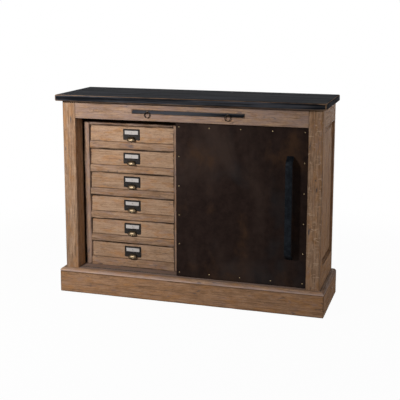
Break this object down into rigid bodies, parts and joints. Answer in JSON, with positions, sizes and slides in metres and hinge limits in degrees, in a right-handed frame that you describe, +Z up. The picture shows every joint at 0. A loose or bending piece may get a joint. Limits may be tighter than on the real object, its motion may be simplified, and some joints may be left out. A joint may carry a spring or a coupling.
{
  "type": "accent cabinet",
  "caption": "Oak accent cabinet with a bank of label-pull drawers, a metal-clad sliding door, a pull-out tray with ring pulls, panelled sides and a moulded plinth.",
  "frame": {"origin": "on the floor, at the middle of the outer box", "axes": "+X to the right along the cabinet's width, +Y to the back, +Z up; the drawers and door face -Y"},
  "size_m": [1.357, 0.42, 1.0175],
  "materials": {
    "oak_frame": "weathered oak, wire brushed, grey wash in the grain",
    "oak_drawer": "weathered oak, lighter",
    "inner_wood": "plain secondary wood",
    "black_wood": "black paint rubbed through at the edges",
    "bronze_sheet": "dark mottled patina, satin",
    "brass_nails": "aged brass",
    "black_iron": "black, satin",
    "antique_brass": "dark antique brass, worn bright on the high spots",
    "label_card": "plain card",
    "steel": "zinc plated",
    "nylon": "moulded"
  },
  "bodies": {
    "cabinet": {"top_board": "black_wood", "left_front_stile": "oak_frame", "right_front_stile": "oak_frame", "front_top_rail": "oak_frame", "left_side_frame": "oak_frame", "right_side_frame": "oak_frame", "side_panels": "oak_frame", "plinth_boards": "oak_frame", "plinth_mouldings": "oak_frame", "base_frame": "inner_wood", "cabinet_floor": "oak_frame", "inner_deck": "inner_wood", "door_tracks": "steel", "rear_top_rail": "inner_wood", "back_panel": "inner_wood", "back_panel_screws": "steel", "partition": "inner_wood", "bank_casing": "inner_wood", "bank_face_frame": "oak_frame", "drawer_runners": "inner_wood", "shelf": "oak_frame", "shelf_cleats": "inner_wood", "tray_runners": "inner_wood"},
    "door": {"door_core": "inner_wood", "door_sheet": "bronze_sheet", "door_nails": "brass_nails", "door_handle": "black_iron", "handle_bolts": "steel", "door_guides": "nylon"},
    "tray": {"tray_board": "black_wood", "tray_front": "black_wood", "ring_eyes": "antique_brass"},
    "left_ring_body": {"left_ring": "antique_brass"},
    "right_ring_body": {"right_ring": "antique_brass"},
    "drawer_1": {"drawer_1_front": "oak_drawer", "drawer_1_box": "inner_wood", "drawer_1_pull": "antique_brass", "drawer_1_card": "label_card"},
    "drawer_2": {"drawer_2_front": "oak_drawer", "drawer_2_box": "inner_wood", "drawer_2_pull": "antique_brass", "drawer_2_card": "label_card"},
    "drawer_3": {"drawer_3_front": "oak_drawer", "drawer_3_box": "inner_wood", "drawer_3_pull": "antique_brass", "drawer_3_card": "label_card"},
    "drawer_4": {"drawer_4_front": "oak_drawer", "drawer_4_box": "inner_wood", "drawer_4_pull": "antique_brass", "drawer_4_card": "label_card"},
    "drawer_5": {"drawer_5_front": "oak_drawer", "drawer_5_box": "inner_wood", "drawer_5_pull": "antique_brass", "drawer_5_card": "label_card"},
    "drawer_6": {"drawer_6_front": "oak_drawer", "drawer_6_box": "inner_wood", "drawer_6_pull": "antique_brass", "drawer_6_card": "label_card"}
  },
  "joints": [
    {"name": "door_slide", "type": "slide", "parent": "cabinet", "child": "door", "axis": [1, 0, 0], "range_m": [-0.5215, 0]},
    {"name": "tray_slide", "type": "slide", "parent": "cabinet", "child": "tray", "axis": [0, -1, 0], "range_m": [0, 0.2]},
    {"name": "left_ring_swing", "type": "hinge", "parent": "tray", "child": "left_ring_body", "pos_m": [-0.202, -0.1705, 0.9415], "axis": [-1, 0, 0], "range_deg": [0, 90]},
    {"name": "right_ring_swing", "type": "hinge", "parent": "tray", "child": "right_ring_body", "pos_m": [0.202, -0.1705, 0.9415], "axis": [-1, 0, 0], "range_deg": [0, 90]},
    {"name": "drawer_1_slide", "type": "slide", "parent": "cabinet", "child": "drawer_1", "axis": [0, -1, 0], "range_m": [0, 0.15]},
    {"name": "drawer_2_slide", "type": "slide", "parent": "cabinet", "child": "drawer_2", "axis": [0, -1, 0], "range_m": [0, 0.15]},
    {"name": "drawer_3_slide", "type": "slide", "parent": "cabinet", "child": "drawer_3", "axis": [0, -1, 0], "range_m": [0, 0.15]},
    {"name": "drawer_4_slide", "type": "slide", "parent": "cabinet", "child": "drawer_4", "axis": [0, -1, 0], "range_m": [0, 0.15]},
    {"name": "drawer_5_slide", "type": "slide", "parent": "cabinet", "child": "drawer_5", "axis": [0, -1, 0], "range_m": [0, 0.15]},
    {"name": "drawer_6_slide", "type": "slide", "parent": "cabinet", "child": "drawer_6", "axis": [0, -1, 0], "range_m": [0, 0.15]}
  ]
}
